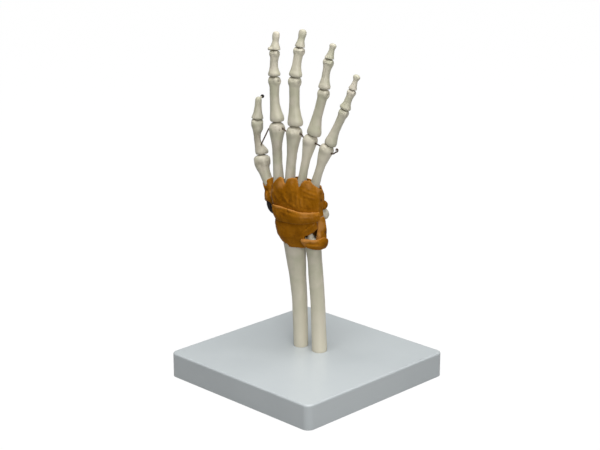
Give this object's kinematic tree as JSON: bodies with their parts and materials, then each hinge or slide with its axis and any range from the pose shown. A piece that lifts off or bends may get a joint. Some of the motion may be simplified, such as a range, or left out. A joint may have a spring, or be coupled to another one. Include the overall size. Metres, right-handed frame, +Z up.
{
  "type": "anatomical hand model",
  "caption": "Upright skeleton of a right hand and wrist with its ligaments, its finger bones jointed, standing by the two forearm bones on a square base.",
  "frame": {"origin": "middle of the base's underside, on the surface that it stands on", "axes": "+Z up, along the hand; X and Y along the base's sides, with the thumb towards -X, the little finger towards +X, the back of the hand towards -Y and the palm towards +Y"},
  "size_m": [0.18, 0.18, 0.321],
  "materials": {
    "bone": "matt moulded plastic with a fine bone texture",
    "ligament": "brown, fibrous and glossy",
    "wire": "browned wire",
    "steel": "plain steel",
    "base": "pale grey, satin",
    "black": "black, matt"
  },
  "bodies": {
    "hand": {"base_shell": "base", "radius_base_screw": "steel", "ulna_base_screw": "steel", "radius": "bone", "ulna": "bone", "scaphoid": "bone", "lunate": "bone", "triquetrum": "bone", "pisiform": "bone", "trapezium": "bone", "trapezoid": "bone", "capitate": "bone", "hamate": "bone", "thumb_metacarpal": "bone", "index_metacarpal": "bone", "middle_metacarpal": "bone", "ring_metacarpal": "bone", "little_metacarpal": "bone", "threaded_wire": "wire", "thumb_tie_wire": "wire", "dorsal_carpometacarpal_ligament": "ligament", "dorsal_radiocarpal_ligament": "ligament", "ulnar_collateral_ligament": "ligament", "radial_collateral_ligament": "ligament", "palmar_radiocarpal_ligament": "ligament", "palmar_carpometacarpal_ligament": "ligament", "dorsal_intercarpal_ligament": "ligament", "distal_radioulnar_ligament": "ligament", "flexor_retinaculum": "ligament", "thumb_joint_capsule": "ligament", "radial_wrist_pad": "black"},
    "index_proximal": {"index_proximal_phalanx": "bone", "index_proximal_joint_wire": "steel"},
    "index_middle": {"index_middle_phalanx": "bone", "index_middle_joint_wire": "steel"},
    "index_distal": {"index_distal_phalanx": "bone", "index_distal_joint_wire": "steel"},
    "middle_proximal": {"middle_proximal_phalanx": "bone", "middle_proximal_joint_wire": "steel"},
    "middle_middle": {"middle_middle_phalanx": "bone", "middle_middle_joint_wire": "steel"},
    "middle_distal": {"middle_distal_phalanx": "bone", "middle_distal_joint_wire": "steel"},
    "ring_proximal": {"ring_proximal_phalanx": "bone", "ring_proximal_joint_wire": "steel"},
    "ring_middle": {"ring_middle_phalanx": "bone", "ring_middle_joint_wire": "steel"},
    "ring_distal": {"ring_distal_phalanx": "bone", "ring_distal_joint_wire": "steel"},
    "little_proximal": {"little_proximal_phalanx": "bone", "little_proximal_joint_wire": "steel"},
    "little_middle": {"little_middle_phalanx": "bone", "little_middle_joint_wire": "steel"},
    "little_distal": {"little_distal_phalanx": "bone", "little_distal_joint_wire": "steel"},
    "thumb_proximal": {"thumb_proximal_phalanx": "bone", "thumb_proximal_joint_wire": "steel"},
    "thumb_distal": {"thumb_distal_phalanx": "bone", "thumb_distal_joint_wire": "steel", "thumb_tip_bead": "black"}
  },
  "joints": [
    {"name": "index_knuckle", "type": "hinge", "parent": "hand", "child": "index_proximal", "pos_m": [-0.04009, 0.00154, 0.22911], "axis": [-0.9736, -0.207, -0.0958], "range_deg": [-10, 60]},
    {"name": "index_middle_joint", "type": "hinge", "parent": "index_proximal", "child": "index_middle", "pos_m": [-0.04466, 0.00291, 0.27255], "axis": [-0.9768, -0.2076, -0.0523], "range_deg": [0, 65]},
    {"name": "index_end_joint", "type": "hinge", "parent": "index_middle", "child": "index_distal", "pos_m": [-0.04644, 0.00515, 0.29689], "axis": [-0.9781, -0.2079, 0], "range_deg": [0, 45]},
    {"name": "middle_knuckle", "type": "hinge", "parent": "hand", "child": "middle_proximal", "pos_m": [-0.02072, 0.00443, 0.22767], "axis": [-0.9778, -0.2078, -0.0262], "range_deg": [-10, 60]},
    {"name": "middle_middle_joint", "type": "hinge", "parent": "middle_proximal", "child": "middle_middle", "pos_m": [-0.02242, 0.00657, 0.27429], "axis": [-0.9751, -0.2073, 0.0785], "range_deg": [0, 65]},
    {"name": "middle_end_joint", "type": "hinge", "parent": "middle_middle", "child": "middle_distal", "pos_m": [-0.02112, 0.01079, 0.30164], "axis": [-0.9709, -0.2064, 0.1219], "range_deg": [0, 45]},
    {"name": "ring_knuckle", "type": "hinge", "parent": "hand", "child": "ring_proximal", "pos_m": [-0.00469, 0.00866, 0.2225], "axis": [-0.9448, -0.2008, 0.2588], "range_deg": [-10, 60]},
    {"name": "ring_middle_joint", "type": "hinge", "parent": "ring_proximal", "child": "ring_middle", "pos_m": [0.00617, 0.01422, 0.26644], "axis": [-0.9744, -0.2071, 0.0872], "range_deg": [0, 65]},
    {"name": "ring_end_joint", "type": "hinge", "parent": "ring_middle", "child": "ring_distal", "pos_m": [0.00774, 0.01858, 0.29435], "axis": [-0.955, -0.203, 0.2164], "range_deg": [0, 45]},
    {"name": "little_knuckle", "type": "hinge", "parent": "hand", "child": "little_proximal", "pos_m": [0.00958, 0.01483, 0.21548], "axis": [-0.8936, -0.1899, 0.4067], "range_deg": [-10, 60]},
    {"name": "little_middle_joint", "type": "hinge", "parent": "little_proximal", "child": "little_middle", "pos_m": [0.02418, 0.02138, 0.25061], "axis": [-0.9276, -0.1972, 0.3173], "range_deg": [0, 65]},
    {"name": "little_end_joint", "type": "hinge", "parent": "little_middle", "child": "little_distal", "pos_m": [0.02969, 0.02537, 0.2692], "axis": [-0.9448, -0.2008, 0.2588], "range_deg": [0, 45]},
    {"name": "thumb_knuckle", "type": "hinge", "parent": "hand", "child": "thumb_proximal", "pos_m": [-0.06659, 0.00805, 0.19265], "axis": [-0.6123, -0.7837, -0.1042], "range_deg": [0, 20]},
    {"name": "thumb_end_joint", "type": "hinge", "parent": "thumb_proximal", "child": "thumb_distal", "pos_m": [-0.07503, 0.01006, 0.22717], "axis": [-0.6146, -0.7862, 0.0649], "range_deg": [-5, 50]}
  ]
}
